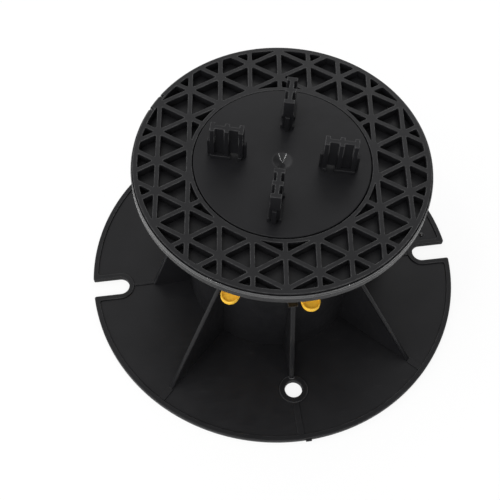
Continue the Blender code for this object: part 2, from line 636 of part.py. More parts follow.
def build_tab_disc(material):
    """Disc with spacer tabs and snap clips, its top face at height zero."""
    skirt_bottom = GRID_BOTTOM - DISC_TOP
    skirt_inner = DISC_RADIUS - DISC_SKIRT_WIDTH
    outline = [
        (0.0, -DISC_THICKNESS),
        (skirt_inner, -DISC_THICKNESS),
        (skirt_inner, skirt_bottom),
        (DISC_RADIUS, skirt_bottom),
        (DISC_RADIUS, -EDGE_CHAMFER),
        (DISC_RADIUS - EDGE_CHAMFER, 0.0),
        (0.0, 0.0),
    ]
    disc = revolved("tab_disc", outline, BASE_SEGMENTS)
    boss_radius = DIMPLE_RADIUS + DISC_SKIRT_WIDTH / 2
    boss_bottom = -DIMPLE_DEPTH - DISC_THICKNESS / 2
    boss = arc((0.0, 0.0), boss_radius, 0, 360, HOLE_SEGMENTS)[:-1]
    slope = DIMPLE_RADIUS / DIMPLE_DEPTH
    dimple = revolved("dimple", [(0.0, -DIMPLE_DEPTH), (DIMPLE_RADIUS + EMBED * slope, EMBED),
                                 (0.0, EMBED)], HOLE_SEGMENTS, FACET_SHIFT)
    dish_underside = DISH_BOTTOM - DISC_TOP
    hook_top = dish_underside - SEAT_GAP
    hook_bottom = hook_top - CLIP_HOOK_HEIGHT
    clip_outer = DISH_BORE_RADIUS - BORE_CLEARANCE - SEAT_GAP
    clip_inner = clip_outer - CLIP_THICKNESS
    clip = [(clip_inner, -DISC_THICKNESS + EMBED), (clip_inner, hook_bottom),
            (clip_outer, hook_bottom), (clip_outer + CLIP_HOOK, hook_top - CLIP_HOOK_HEIGHT / 3),
            (clip_outer + CLIP_HOOK, hook_top), (clip_outer, hook_top),
            (clip_outer, -DISC_THICKNESS + EMBED)]
    additions = [upright_prism("boss", boss, boss_bottom, -EMBED)]
    cuts = [dimple]
    for index in range(TAB_COUNT):
        azimuth = 360 * index / TAB_COUNT
        additions.extend(tab_shapes(azimuth))
        cuts.append(tab_window(azimuth))
        additions.append(radial_plate("clip", clip, CLIP_WIDTH, azimuth + 180 / TAB_COUNT))
    combine(disc, additions, "UNION")
    combine(disc, cuts, "DIFFERENCE")
    finish(disc, material, DISC_TOP, DISC_TURN)


def build():
    """Build the whole pedestal."""
    clear_scene()
    black = plastic("black_plastic", (0.018, 0.018, 0.020), 0.45)
    build_base(black)
    build_stem(plastic("stem_plastic", (0.016, 0.016, 0.018), 0.42))
    build_isogrid_plate(plastic("grid_plastic", (0.022, 0.022, 0.024), 0.48))
    build_tab_disc(plastic("disc_plastic", (0.022, 0.022, 0.024), 0.5))
    build_ring_nut(plastic("yellow_plastic", (0.80, 0.42, 0.02), 0.35))


build()
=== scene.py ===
# %% [markdown]
# # A decking pedestal, dressed for its picture
#
# A decking pedestal is a small jack of moulded plastic. It carries the corners of paving slabs
# above a roof, and turning its yellow nut lifts the head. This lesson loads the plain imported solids
# and builds a finer copy of each of the five mouldings over them. The copies have rounded edges
# that catch the light, and a plastic that isn't the same black all over.

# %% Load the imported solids
import math

import bmesh
import bpy
from mathutils import Matrix, Vector
from mathutils.geometry import tessellate_polygon


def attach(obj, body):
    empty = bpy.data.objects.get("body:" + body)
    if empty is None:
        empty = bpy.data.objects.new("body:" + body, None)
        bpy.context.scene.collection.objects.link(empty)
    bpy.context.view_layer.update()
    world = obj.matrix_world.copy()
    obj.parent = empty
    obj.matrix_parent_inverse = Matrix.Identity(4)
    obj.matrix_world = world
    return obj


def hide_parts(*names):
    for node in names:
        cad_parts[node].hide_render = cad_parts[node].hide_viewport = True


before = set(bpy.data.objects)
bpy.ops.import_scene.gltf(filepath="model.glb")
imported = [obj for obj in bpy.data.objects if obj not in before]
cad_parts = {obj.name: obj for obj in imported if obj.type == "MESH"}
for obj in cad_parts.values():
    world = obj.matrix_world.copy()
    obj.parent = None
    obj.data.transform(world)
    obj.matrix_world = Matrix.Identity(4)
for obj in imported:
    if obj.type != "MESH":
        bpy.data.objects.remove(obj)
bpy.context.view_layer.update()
MM = 0.001

# %% [markdown]
# ## The camera
#
# The picture was taken from above and in front, about half a metre away. The camera's place and
# lens were worked out from round edges whose real size is known: each one shows as an ellipse, and
# only one place and one lens explain them all. Three angles could turn the camera, but a point to
# aim at and a roll are easier to read and to correct.

# %% Place the camera
CAMERA_PLACE = Vector((-57.5, -247.5, 462.8)) * MM
CAMERA_AIM = Vector((-16.8, -18.9, 60.0)) * MM
CAMERA_ROLL = 2.52
CAMERA_LENS = 67.5
SENSOR_WIDTH = 36.0

camera = bpy.data.objects.new("camera", bpy.data.cameras.new("camera"))
bpy.context.scene.collection.objects.link(camera)
aim = (CAMERA_AIM - CAMERA_PLACE).to_track_quat("-Z", "Y").to_matrix().to_4x4()
roll = Matrix.Rotation(math.radians(CAMERA_ROLL), 4, "Z")
camera.matrix_world = Matrix.Translation(CAMERA_PLACE) @ aim @ roll
camera.data.lens = CAMERA_LENS
camera.data.sensor_width = SENSOR_WIDTH
bpy.context.scene.camera = camera
print("camera distance from the aim:", round((CAMERA_AIM - CAMERA_PLACE).length, 3), "m")

# %% [markdown]
# ## Flat outlines
#
# Every moulding here is a flat outline that was given a height, or a profile that was spun round
# the column. Blender's curves could hold the outlines, but plain lists of (x, y) points in
# millimetres keep every size readable, and a line of code can turn, trim or measure them.


# %% Circles, arcs, boxes and turned outlines
def circle(radius, steps, centre=(0.0, 0.0)):
    """Points of a circle, counter-clockwise."""
    return [(centre[0] + radius * math.cos(math.tau * step / steps),
             centre[1] + radius * math.sin(math.tau * step / steps)) for step in range(steps)]


def arc(centre, radius, start, end, steps):
    """Points of an arc between two angles in degrees."""
    angles = [math.radians(start + (end - start) * step / steps) for step in range(steps + 1)]
    return [(centre[0] + radius * math.cos(angle), centre[1] + radius * math.sin(angle))
            for angle in angles]


def box(x_low, x_high, y_low, y_high):
    """Corners of a rectangle, counter-clockwise."""
    return [(x_low, y_low), (x_high, y_low), (x_high, y_high), (x_low, y_high)]


def turned(outline, degrees):
    """The outline turned about the column's axis."""
    cosine = math.cos(math.radians(degrees))
    sine = math.sin(math.radians(degrees))
    return [(x * cosine - y * sine, x * sine + y * cosine) for x, y in outline]


print("12 steps make a circle of", len(circle(10.0, 12)), "points and an arc of",
      len(arc((0.0, 0.0), 10.0, 0, 90, 12)))

# %% [markdown]
# Moulded corners are never quite sharp, because a mould is cut with round tools. This helper cuts
# each corner back by the same length on both sides and puts a small arc there. Points of a curve
# turn so little that they are left as they are.


# %% Round the corners of an outline
def round_corners(outline, radius, sharpest=40.0, steps=3):
    """The outline with an arc in place of each corner that turns by more than an angle."""
    result = []
    count = len(outline)
    for index in range(count):
        here = Vector(outline[index])
        before = Vector(outline[index - 1]) - here
        after = Vector(outline[(index + 1) % count]) - here
        inner = before.angle(after)
        if math.pi - inner < math.radians(sharpest):
            result.append(tuple(here))
            continue
        cut_back = min(radius / math.tan(inner / 2), before.length * 0.49, after.length * 0.49)
        start = here + before.normalized() * cut_back
        end = here + after.normalized() * cut_back
        middle = here + (before.normalized() + after.normalized()).normalized() * (
            cut_back / math.cos(inner / 2))
        first, last = start - middle, end - middle
        swing = math.atan2(first.x * last.y - first.y * last.x, first.dot(last))
        for step in range(steps + 1):
            cosine = math.cos(swing * step / steps)
            sine = math.sin(swing * step / steps)
            result.append((middle.x + first.x * cosine - first.y * sine,
                           middle.y + first.x * sine + first.y * cosine))
    return result


print("a rounded square has", len(round_corners(box(0, 10, 0, 10), 1.0)), "points")

# %% [markdown]
# A rounded edge is made from rings of points that step inwards as they rise. To step inwards, each
# point moves along the middle between the two walls that meet there, and a little further in a
# sharp corner, so that both walls move by the same distance.


# %% Move an outline inwards
def inset(outline, distance):
    """The outline moved to its left side, which is where the material is."""
    moved = []
    count = len(outline)
    for index in range(count):
        here = Vector(outline[index])
        along_in = (here - Vector(outline[index - 1])).normalized()
        along_out = (Vector(outline[(index + 1) % count]) - here).normalized()
        left_in = Vector((-along_in.y, along_in.x))
        left_out = Vector((-along_out.y, along_out.x))
        shift = (left_in + left_out) / max(0.3, 1.0 + left_in.dot(left_out))
        moved.append(tuple(here + shift * distance))
    return moved


print("a corner at (0, 0) moved in by 1 mm:", inset(box(0, 10, 0, 10), 1.0)[0])

# %% [markdown]
# ## Plates with rounded edges
#
# A plate is one outer outline and any number of holes. Its walls are strips between rings, and its
# flat faces are filled with triangles, because a face in Blender can't have a hole. The Bevel
# modifier could round the edges, but rings keep each edge's width under control, even in the
# thinnest corner of a pocket.

# %% Add a plate to a mesh
EDGE_STEPS = 3


def edge_rings(low, high, edge):
    """(inset, height) of each ring of a wall with rounded lower and upper edges."""
    if edge == 0.0:
        return [(0.0, low), (0.0, high)]
    quarter = [math.radians(90.0 * step / EDGE_STEPS) for step in range(EDGE_STEPS + 1)]
    lower = [(edge * (1 - math.sin(angle)), low + edge * (1 - math.cos(angle)))
             for angle in quarter]
    upper = [(edge * (1 - math.cos(angle)), high - edge * (1 - math.sin(angle)))
             for angle in quarter]
    return lower + upper


def add_walls(bm, loop, levels, place):
    """Add the wall round one loop of a plate, and return its rings of vertices."""
    rings = []
    for distance, height in levels:
        points = inset(loop, distance) if distance else loop
        rings.append([bm.verts.new(place @ (Vector((x, y, height)) * MM)) for x, y in points])
    for lower, upper in zip(rings, rings[1:]):
        for index in range(len(loop)):
            after = (index + 1) % len(loop)
            bm.faces.new((lower[index], lower[after], upper[after], upper[index])).smooth = True
    return rings


def add_plate(bm, loops, low, high, edge=0.3, place=Matrix()):
    """Add a plate: the first loop is the outside and runs counter-clockwise, the rest are holes."""
    loops = [loops[0]] + [list(reversed(hole)) for hole in loops[1:]]
    levels = edge_rings(low, high, edge)
    walls = [add_walls(bm, loop, levels, place) for loop in loops]
    for side in (0, -1):
        flat = [vertex for rings in walls for vertex in rings[side]]
        if len(loops) == 1:
            bm.faces.new(flat if side else list(reversed(flat)))
            continue
        shapes = [[Vector((x, y, 0.0)) for x, y in inset(loop, levels[side][0])]
                  for loop in loops]
        for corners in tessellate_polygon(shapes):
            if len(set(corners)) == 3:
                bm.faces.new([flat[corner] for corner in corners])


print("a wall with rounded edges has", len(edge_rings(0.0, 2.0, 0.3)), "rings of points")

# %% [markdown]
# ## Spun profiles
#
# The column, the nut and the dish are turned shapes: one profile of (radius, height) points, spun
# round the axis. The Screw modifier does this too, but faces made here are ready at once for the
# next cut. Blender shades a smooth surface between the directions at its points, so a long flat run
# next to a rounded edge would look bent. Two more points close to its ends keep it straight.


# %% Spin a profile round the axis
def held(profile, gap=0.1, longest=1.0):
    """The profile with a point close to both ends of each long run, which keeps it straight."""
    result = []
    for here, following in zip(profile, profile[1:] + profile[:1]):
        along = Vector(following) - Vector(here)
        result.append(here)
        if along.length > longest:
            step = along.normalized() * gap
            result += [tuple(Vector(here) + step), tuple(Vector(following) - step)]
    return result


def add_spun(bm, profile, segments):
    """Add a closed solid spun round the axis from a (radius, height) outline."""
    rings = []
    for radius, height in held(profile):
        around = [(0.0, 0.0)] if radius < 1e-6 else circle(radius, segments)
        rings.append([bm.verts.new(Vector((x, y, height)) * MM) for x, y in around])
    for lower, upper in zip(rings, rings[1:] + rings[:1]):
        if len(lower) == 1 and len(upper) == 1:
            continue
        for step in range(segments):
            after = (step + 1) % segments
            corners = [lower[step % len(lower)], lower[after % len(lower)],
                       upper[after % len(upper)], upper[step % len(upper)]]
            bm.faces.new(list(dict.fromkeys(corners))).smooth = True


print("a square profile is held by", len(held(box(0, 10, 0, 10))), "points")

# %% [markdown]
# ## From mesh to moulding
#
# When all shapes of a moulding are in one mesh, its faces are made to point out and it becomes an
# object. Walls are shaded smooth and flat faces flat, with a sharp line wherever two faces meet at
# more than SHARP degrees. Small shapes stand inside larger ones here and there, as when a rib runs
# into a lip. A Boolean could join them, but it would tear the neat rings of the rounded edges.

# %% Make a moulding of a mesh
SHARP = 38


def moulding(name, bm, degrees=0.0):
    """Turn a mesh into an object whose faces point out, turned about the axis."""
    bmesh.ops.recalc_face_normals(bm, faces=bm.faces)
    mesh = bpy.data.meshes.new(name)
    curved = [face.smooth for face in bm.faces]
    bm.to_mesh(mesh)
    bm.free()
    mesh.transform(Matrix.Rotation(math.radians(degrees), 4, "Z"))
    mesh.set_sharp_from_angle(angle=math.radians(SHARP))
    mesh.polygons.foreach_set("use_smooth", curved)
    piece = bpy.data.objects.new(name, mesh)
    bpy.context.scene.collection.objects.link(piece)
    print(name, "has", len(mesh.polygons), "faces")
    return piece


print("faces keep a sharp line between them from", SHARP, "degrees")

# %% [markdown]
# ## The base
#
# The base is one moulding: a thin round plate with a raised lip, a tall column and eight gussets.
# Two open slots and two holes take fixing screws. A plain disc could be cut by a slot-shaped block,
# but walking the outline once round, in and out of both slots, also gives the lip its course: it is
# the strip between this outline and a second one further in.

# %% Outline of the base
BASE_RADIUS = 99.8
SLOT_CENTRE = 85.3
SLOT_HALF_WIDTH = 5.1


def slotted_disc(radius, half_width, mouth):
    """Outline of the base with two open slots, whose mouths are rounded."""
    mouth_angle = math.degrees(math.asin(half_width / radius))
    mouth_place = radius * math.cos(math.radians(mouth_angle))
    outline = []
    for side in (0, 180):
        slot = arc((SLOT_CENTRE, 0.0), half_width, 270, 90, 24)
        outline += turned([(mouth_place, -half_width)] + slot, side)
        outline += arc((0.0, 0.0), radius, side + mouth_angle, side + 180 - mouth_angle, 110)[:-1]
    return round_corners(outline, mouth, sharpest=60.0, steps=5)


base_outline = slotted_disc(BASE_RADIUS, SLOT_HALF_WIDTH, mouth=1.0)
print("points round the base:", len(base_outline))

# %% [markdown]
# The plate stops a millimetre inside the lip, the column and the bosses, where nobody can see its
# edge. The lip and the bosses stand 0.8 mm above it, as on the real base.

# %% Plate, lip, column and bosses
PLATE_LOW = 0.02
PLATE_TOP = 2.2
HIDDEN = 1.0
LIP_TOP = 3.0
LIP_WIDTH = 2.8
HOLE_CENTRES = ((0.0, -72.3), (0.0, 72.3))
HOLE_RADIUS = 4.55
BOSS_RADIUS = 7.55
COLUMN_BORE = 43.4
COLUMN_RADIUS = 46.0
COLUMN_TOP = 57.0
COLUMN_SEGMENTS = 192

bm = bmesh.new()
plate = [slotted_disc(BASE_RADIUS - HIDDEN, SLOT_HALF_WIDTH + HIDDEN, mouth=0.8)]
plate.append(circle(COLUMN_BORE + HIDDEN, 160))
plate += [circle(HOLE_RADIUS + HIDDEN, 48, centre) for centre in HOLE_CENTRES]
add_plate(bm, plate, PLATE_LOW, PLATE_TOP)
lip_inside = slotted_disc(BASE_RADIUS - LIP_WIDTH, SLOT_HALF_WIDTH + LIP_WIDTH, mouth=2.0)
add_plate(bm, [base_outline, lip_inside], 0.0, LIP_TOP, edge=0.4)
column = box(COLUMN_BORE, COLUMN_RADIUS, 0.0, COLUMN_TOP)
add_spun(bm, round_corners(column, radius=0.5), COLUMN_SEGMENTS)
for centre in HOLE_CENTRES:
    boss = [circle(BOSS_RADIUS, 64, centre), circle(HOLE_RADIUS, 48, centre)]
    add_plate(bm, boss, 0.0, LIP_TOP)
print("faces so far:", len(bm.faces))

# %% [markdown]
# The steep gussets carry a small shelf at the column's top, and the long ones run almost to the
# lip. Each is a plate stood on edge in a radial plane, where x is the radius and y the height, so
# it can use the same helper as the base. A wide rounded edge gives it the soft bright line that
# moulded webs show.

# %% Gussets and their shelves
SUNK = 1.2
GUSSET_ROOT = 44.7
GUSSET_TOP = 56.5
GUSSET_TOE = PLATE_TOP + 0.5
STEEP_FOOT = 66.6
STEEP_HALF = 1.25
STEEP_EDGE = 0.55
LONG_FOOT = 90.0
LONG_HALF = 1.05
LONG_EDGE = 0.8
SHELF_REACH = 51.0
SHELF_HALF = 2.45
SHELF_LOW = 55.8
SHELF_HIGH = 56.75
QUARTERS = (0, 90, 180, 270)


def upright(degrees):
    """Place of a plate that stands in the radial plane in one direction."""
    turn = Matrix.Rotation(math.radians(degrees), 4, "Z")
    return turn @ Matrix.Rotation(math.radians(90), 4, "X")


def gusset(foot, top):
    """Outline of a gusset from the radius of its foot and the radius of its top."""
    return round_corners([(GUSSET_ROOT, SUNK), (foot, SUNK), (foot, GUSSET_TOE),
                          (top, GUSSET_TOP), (GUSSET_ROOT, GUSSET_TOP)], radius=0.4)


steep = gusset(STEEP_FOOT, SHELF_REACH)
long = gusset(LONG_FOOT, COLUMN_RADIUS)
shelf = box(GUSSET_ROOT, SHELF_REACH, SHELF_LOW, SHELF_HIGH)
for degrees in QUARTERS:
    add_plate(bm, [steep], -STEEP_HALF, STEEP_HALF, STEEP_EDGE, upright(degrees))
    add_plate(bm, [long], -LONG_HALF, LONG_HALF, LONG_EDGE, upright(degrees + 45))
    add_plate(bm, [shelf], -SHELF_HALF, SHELF_HALF, edge=0.2, place=upright(degrees))
print("faces with the gussets:", len(bm.faces))

# %% [markdown]
# Low ribs carry each gusset's line on to the lip or the slot. A nub on the rim shows where the melt
# came into the mould, and a small round pip near one slot is a mark of the mould.

# %% Low ribs, gate nub and pip
RIB_TOP = 2.8
RIB_EDGE = 0.25
LOW_RIBS = (((45, 135, 225, 315), box(89.5, 98.4, -1.7, 1.7)),
            ((90, 270), box(76.9, 98.4, -1.7, 1.7)),
            ((0, 180), box(66.1, 78.8, -0.85, 0.85)))
NUB = box(98.4, 100.8, -1.5, 1.5)
NUB_LOW = 1.0
NUB_DIRECTION = -88
PIP_RADIUS = 1.4
PIP_TOP = 3.4
PIP_EDGE = 1.05
PIP_REACH = 89.0
PIP_DIRECTION = 7.5

for directions, rib in LOW_RIBS:
    for degrees in directions:
        add_plate(bm, [turned(rib, degrees)], SUNK, RIB_TOP, RIB_EDGE)
add_plate(bm, [turned(NUB, NUB_DIRECTION)], NUB_LOW, PLATE_TOP, RIB_EDGE)
pip_place = turned([(PIP_REACH, 0.0)], PIP_DIRECTION)[0]
add_plate(bm, [circle(PIP_RADIUS, 32, pip_place)], SUNK, PIP_TOP, PIP_EDGE)
base_piece = moulding("base_moulding", bm)

# %% [markdown]
# ## The adjusting nut
#
# The yellow nut is a plain ring that turns on the column's top. Eight half-round lobes stick out to
# turn it by, and each is dished, so it shows a rim with a lower floor inside. A lobe could be
# a cylinder with a smaller one cut out. Two plates, one with a hole and one lower, give the same
# form with a rounded rim.

# %% Build the adjusting nut
NUT_LOW = 57.3
NUT_HIGH = 65.3
NUT_RADIUS = 47.4
NUT_TURN = 9.6
LOBE_COUNT = 8
LOBE_PLACE = 51.4
LOBE_RADIUS = 4.5
LOBE_RIM = 0.8
LOBE_EDGE = 0.22
LOBE_TOP = NUT_LOW + 2.5
LOBE_FLOOR = LOBE_TOP - 0.8
FLOOR_LAP = 0.3


def lobe(radius, root):
    """Outline of a lobe: half a circle that runs back into the ring."""
    return arc((LOBE_PLACE, 0.0), radius, -90, 90, 28) + [(root, radius), (root, -radius)]


bm = bmesh.new()
ring = box(COLUMN_BORE, NUT_RADIUS, NUT_LOW, NUT_HIGH)
add_spun(bm, round_corners(ring, radius=0.5), COLUMN_SEGMENTS)
outside = lobe(LOBE_RADIUS, root=45.4)
inside = lobe(LOBE_RADIUS - LOBE_RIM, root=47.0)
lobe_floor = inset(inside, -FLOOR_LAP)
for index in range(LOBE_COUNT):
    degrees = index * 360 / LOBE_COUNT
    rim = [turned(outside, degrees), turned(inside, degrees)]
    add_plate(bm, rim, NUT_LOW, LOBE_TOP, LOBE_EDGE)
    add_plate(bm, [turned(lobe_floor, degrees)], NUT_LOW, LOBE_FLOOR, edge=0.0)
nut_piece = moulding("nut_moulding", bm, NUT_TURN)

# %% [markdown]
# ## The threaded stem
#
# The stem is a tube with a coarse right-hand thread and a round dish on top. The dish is a spun
# profile with a ledge that the head plate lies on and a thin rim outside it. Two narrow notches
# leave a tongue between them in its wall.

# %% Dish of the stem
HEAD_RADIUS = 70.5
DISH_OPENING = 30.2
DISH_LOW = 99.9
DISH_FLOOR = 101.7
DISH_INSIDE = 68.7
DISH_SEGMENTS = 256
LEDGE = 104.8
RIM_TOP = 105.6
RIM_OUTSIDE = 70.25
RIM_INSIDE = 69.8
STEP_LOW = 104.4
STEP_HIGH = 104.55

bm = bmesh.new()
dish = [(DISH_OPENING, DISH_LOW), (HEAD_RADIUS - 0.7, DISH_LOW), (HEAD_RADIUS, DISH_LOW + 0.7),
        (HEAD_RADIUS, STEP_LOW), (RIM_OUTSIDE, STEP_HIGH), (RIM_OUTSIDE, RIM_TOP),
        (RIM_INSIDE, RIM_TOP), (RIM_INSIDE, LEDGE), (DISH_INSIDE, LEDGE),
        (DISH_INSIDE, DISH_FLOOR), (DISH_OPENING, DISH_FLOOR)]
add_spun(bm, round_corners(dish, radius=0.2), DISH_SEGMENTS)
dish_piece = moulding("stem_moulding", bm)

# %% [markdown]
# A Boolean modifier cuts the notches. It needs a second object as its tool, and the result is read
# back from the evaluated object, so that no modifier and no tool are left in the file.

# %% Cut the notches of the dish
NOTCH_REACH = 67.9
NOTCH_WIDTH = 1.5
NOTCH_DIRECTION = 150.0
TONGUE_HALF = 3.8
OUTSIDE_HEAD = 72.0
ABOVE_DISH = 108.0


def cut(piece, blocks):
    """Cut plain blocks, each an outline with a low, a high and a direction, out of a piece."""
    tool = bpy.data.objects.new("tool", bpy.data.meshes.new("tool"))
    bm = bmesh.new()
    for outline, low, high, degrees in blocks:
        add_plate(bm, [turned(outline, degrees)], low, high, edge=0.0)
    bmesh.ops.recalc_face_normals(bm, faces=bm.faces)
    bm.to_mesh(tool.data)
    bm.free()
    bpy.context.scene.collection.objects.link(tool)
    modifier = piece.modifiers.new("cut", "BOOLEAN")
    modifier.operation = "DIFFERENCE"
    modifier.solver = "EXACT"
    modifier.object = tool
    bpy.context.view_layer.update()
    evaluated = piece.evaluated_get(bpy.context.evaluated_depsgraph_get())
    result = bpy.data.meshes.new_from_object(evaluated)
    piece.modifiers.clear()
    piece.data = result
    bpy.data.objects.remove(tool, do_unlink=True)
    print(piece.name, "has", len(result.polygons), "faces after the cut")


notches = []
for low in (-TONGUE_HALF - NOTCH_WIDTH, TONGUE_HALF):
    outline = box(NOTCH_REACH, OUTSIDE_HEAD, low, low + NOTCH_WIDTH)
    notches.append((outline, DISH_FLOOR, ABOVE_DISH, NOTCH_DIRECTION))
cut(dish_piece, notches)

# %% [markdown]
# The thread is one section carried up round the tube: at each step it turns a little and climbs a
# little, and at both ends it sinks into the tube over a quarter of a turn. The Screw modifier could
# make a thread as well, but it can't fade the ends.

# %% Tube and thread of the stem
STEM_LOW = 39.9
STEM_HIGH = DISH_LOW + 0.9
STEM_BORE = 38.8
THREAD_ROOT = 41.4
THREAD_CREST = 43.0
THREAD_PITCH = 6.0
THREAD_START = 43.5
THREAD_TURNS = 8
THREAD_STEPS = 144
FADE_STEPS = THREAD_STEPS / 4
FLANK = [(THREAD_ROOT - 0.6, 1.8), (THREAD_ROOT, 1.8), (THREAD_CREST - 0.25, 0.95),
         (THREAD_CREST, 0.7)]

section = [(radius, -lift) for radius, lift in FLANK] + list(reversed(FLANK))
last_step = THREAD_TURNS * THREAD_STEPS


def thread_ring(bm, step):
    """Vertices of the thread's section at one step of its climb."""
    angle = math.tau * step / THREAD_STEPS
    middle = THREAD_START + THREAD_PITCH * step / THREAD_STEPS
    growth = max(0.02, min(1.0, step / FADE_STEPS, (last_step - step) / FADE_STEPS))
    ring = []
    for radius, lift in section:
        if radius > THREAD_ROOT:
            radius = THREAD_ROOT + (radius - THREAD_ROOT) * growth
        point = Vector((radius * math.cos(angle), radius * math.sin(angle), middle + lift))
        ring.append(bm.verts.new(point * MM))
    return ring


bm = bmesh.new()
tube = box(STEM_BORE, THREAD_ROOT, STEM_LOW, STEM_HIGH)
add_spun(bm, round_corners(tube, radius=0.4), COLUMN_SEGMENTS)
rings = [thread_ring(bm, step) for step in range(last_step + 1)]
for ring, following in zip(rings, rings[1:]):
    for index in range(len(section)):
        after = (index + 1) % len(section)
        corners = (ring[index], following[index], following[after], ring[after])
        bm.faces.new(corners).smooth = True
bm.faces.new(rings[0])
bm.faces.new(rings[-1])
print("the thread climbs", THREAD_PITCH * THREAD_TURNS, "mm in", THREAD_TURNS, "turns")

# %% [markdown]
# Twelve ribs brace the dish from below. They are plates on edge like the gussets. The dish had to
# be cut before the thread was added, because a Boolean works best on one closed body, so the two
# meshes are only joined now.

# %% Ribs under the dish, and the stem in one piece
BRACE_COUNT = 12
BRACE_ROOT = 40.1
BRACE_FOOT = 43.0
BRACE_REACH = 67.1
BRACE_HALF = 1.0
BRACE_DEEP = DISH_LOW - 4.0
BRACE_SHALLOW = DISH_LOW - 1.0
BRACE_TOP = DISH_LOW + 0.5
HEAD_TURN = -7.3


def join(name, parts, degrees):
    """Put several objects' meshes into one moulding and turn it about the axis."""
    bm = bmesh.new()
    for part in parts:
        bm.from_mesh(part.data)
    for part in parts:
        bpy.data.objects.remove(part, do_unlink=True)
    return moulding(name, bm, degrees)


brace = round_corners([(BRACE_ROOT, BRACE_DEEP), (BRACE_FOOT, BRACE_DEEP),
                       (BRACE_REACH, BRACE_SHALLOW), (BRACE_REACH, BRACE_TOP),
                       (BRACE_ROOT, BRACE_TOP)], radius=0.3)
for index in range(BRACE_COUNT):
    degrees = index * 360 / BRACE_COUNT
    add_plate(bm, [brace], -BRACE_HALF, BRACE_HALF, edge=0.25, place=upright(degrees))
thread_piece = moulding("thread_part", bm)
stem_piece = join("stem_moulding", [dish_piece, thread_piece], HEAD_TURN)

# %% [markdown]
# ## The head plate
#
# The head is braced by ribs in three directions, an isogrid: light, and as stiff one way as
# another. Drawing every rib and joining them all would be heavy. It is easier to draw what is
# missing. Each pocket is a triangle of the lattice, made smaller to leave half a rib on every side.

# %% Triangles of the lattice
GRID_PITCH = 16.76
RIB_WIDTH = 2.2


def lattice(reach):
    """Triangles of the lattice about the centre, shrunk to leave the ribs between them."""
    row = GRID_PITCH * math.sqrt(3) / 2
    shrink = 1.0 - (RIB_WIDTH / 2) / (row / 3)
    count = int(reach / row) + 2
    cells = []
    for column in range(-count, count):
        for step in range(-2 * count, 2 * count):
            low = (step + column / 2) * GRID_PITCH
            x = column * row
            left = [(x, low + GRID_PITCH), (x, low), (x + row, low + GRID_PITCH / 2)]
            right = [(x + row, low + GRID_PITCH / 2), (x + row, low + GRID_PITCH * 1.5),
                     (x, low + GRID_PITCH)]
            for cell in (left, right):
                middle = (sum(p[0] for p in cell) / 3, sum(p[1] for p in cell) / 3)
                if math.hypot(*middle) < reach:
                    cells.append([(middle[0] + (x0 - middle[0]) * shrink,
                                   middle[1] + (y0 - middle[1]) * shrink) for x0, y0 in cell])
    return cells


cells = lattice(HEAD_RADIUS)
print("triangles in the lattice:", len(cells))

# %% [markdown]
# The pockets stop at a band near the rim and at another round the disc, so their triangles have to
# be trimmed by two circles. A Boolean with a cylinder could do it, but trimming the flat outlines
# is quicker and exact. First come the places where an outline crosses a circle, and the points
# that close a gap along it.

# %% Cross a circle and follow it
ARC_STEP = math.radians(1.6)


def crossing(a, b, radius):
    """Points where the straight line from a to b crosses a circle about the axis, in order."""
    along = (b[0] - a[0], b[1] - a[1])
    square = along[0] ** 2 + along[1] ** 2
    half = a[0] * along[0] + a[1] * along[1]
    inside = half ** 2 - square * (a[0] ** 2 + a[1] ** 2 - radius ** 2)
    if inside <= 0.0:
        return []
    root = math.sqrt(inside)
    return [(a[0] + along[0] * t, a[1] + along[1] * t)
            for t in ((-half - root) / square, (-half + root) / square) if 0.0 < t < 1.0]


def swing_to(point, target, direction):
    """Angle about the axis from one point to another, going round in one direction."""
    return (direction * (math.atan2(target[1], target[0])
                         - math.atan2(point[1], point[0]))) % math.tau


def along_circle(point, swing, radius, direction):
    """Points on the circle between a point and the end of its swing."""
    angle = math.atan2(point[1], point[0])
    steps = max(1, round(swing / ARC_STEP))
    return [(radius * math.cos(angle + direction * swing * step / steps),
             radius * math.sin(angle + direction * swing * step / steps))
            for step in range(1, steps)]


print("a line through a circle crosses it", len(crossing((-9, 1), (9, 1), 5.0)), "times")

# %% [markdown]
# The trim walks round the outline with its crossings put in. It keeps each stretch on the wanted
# side, and goes from the end of one stretch along the circle to the nearest start of another, until
# it is back where it began.


# %% Trim an outline by a circle
def trim(outline, radius, keep_inside):
    """The parts of an outline on one side of a circle about the axis, closed along the circle."""
    def kept(x, y):
        return (math.hypot(x, y) < radius) == keep_inside

    walk = []
    for here, following in zip(outline, outline[1:] + outline[:1]):
        walk.append((here, False))
        walk += [(point, True) for point in crossing(here, following, radius)]
    count = len(walk)
    if count == len(outline):
        return [outline] if kept(*outline[0]) else []
    starts = []
    for index, ((x0, y0), crosses) in enumerate(walk):
        x1, y1 = walk[(index + 1) % count][0]
        if crosses and kept((x0 + x1) / 2, (y0 + y1) / 2):
            starts.append(index)

    direction = 1.0 if keep_inside else -1.0
    pieces = []
    left = set(starts)
    while left:
        first = start = left.pop()
        piece = []
        while True:
            piece.append(walk[start][0])
            index = (start + 1) % count
            while not walk[index][1]:
                piece.append(walk[index][0])
                index = (index + 1) % count
            end = walk[index][0]
            piece.append(end)
            swing, start = min((swing_to(end, walk[s][0], direction), s) for s in starts)
            piece += along_circle(end, swing, radius, direction)
            if start == first:
                break
            left.discard(start)
        pieces.append(piece)
    return pieces


print("a square cut by a circle leaves", len(trim(box(0, 10, 0, 10), 8.0, True)), "part inside")

# %% [markdown]
# A sliver narrower than a rib would never be moulded, so pockets below a few square millimetres are
# dropped. The corners of the others get a small radius.

# %% Pockets of the head plate
POCKET_INNER = 44.0
POCKET_OUTER = 67.2
POCKET_CORNER = 0.45
SMALLEST_POCKET = RIB_WIDTH ** 2


